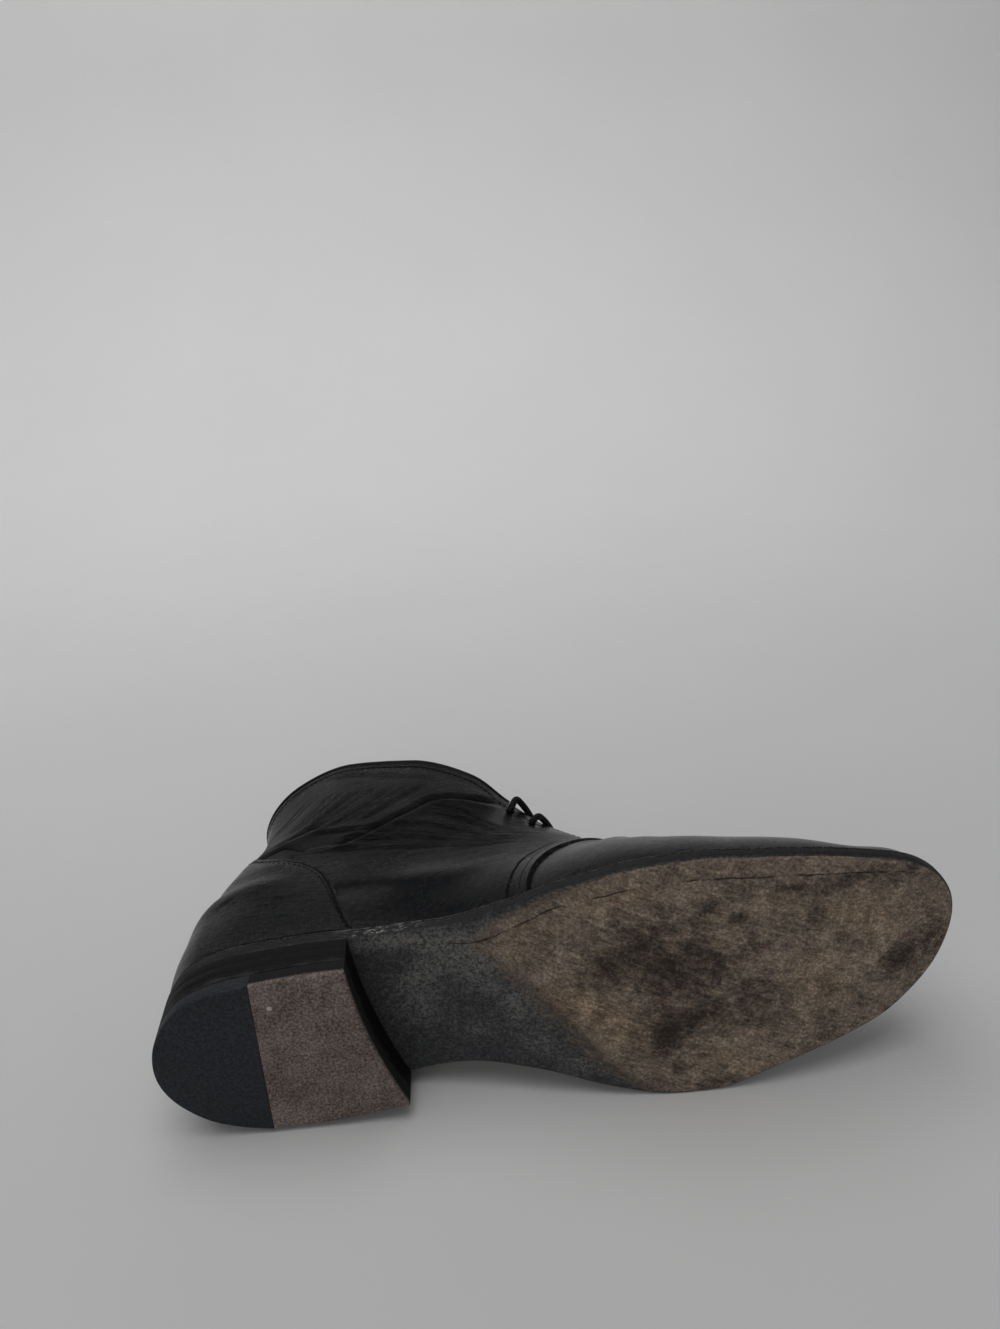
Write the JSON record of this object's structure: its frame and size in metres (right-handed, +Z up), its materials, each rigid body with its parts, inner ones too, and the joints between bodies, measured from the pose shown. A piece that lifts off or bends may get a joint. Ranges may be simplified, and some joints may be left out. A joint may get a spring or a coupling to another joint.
{
  "type": "chukka boot",
  "caption": "Leather lace-up ankle boot for a right foot, with a stacked heel and leather sole, lying on its medial side; a foot goes in at the collar.",
  "frame": {"origin": "middle of the bounding box at floor level, under the boot as it lies on its medial side", "axes": "+X from the heel to the toe, -Y the way the sole faces, +Z up through the lateral side"},
  "size_m": [0.299, 0.1508, 0.1031],
  "materials": {
    "sole_leather": "worn bare leather with a black painted waist",
    "heel_leather": "black edge dressing, scuffed",
    "lift_leather": "worn and speckled",
    "heel_rubber": "matt, worn",
    "insole_leather": "plain",
    "upper_leather": "soft gloss, creased",
    "tongue_leather": "soft gloss",
    "lace_cord": "waxed round cord"
  },
  "bodies": {
    "root": {"outsole": "sole_leather", "heel_stack": "heel_leather", "heel_lift": "lift_leather", "heel_rubber": "heel_rubber", "insole": "insole_leather", "upper": "upper_leather", "heel_counter": "upper_leather", "tongue": "tongue_leather", "collar_binding": "upper_leather", "lace_bar_upper": "lace_cord", "lace_bar_lower": "lace_cord"}
  },
  "joints": []
}
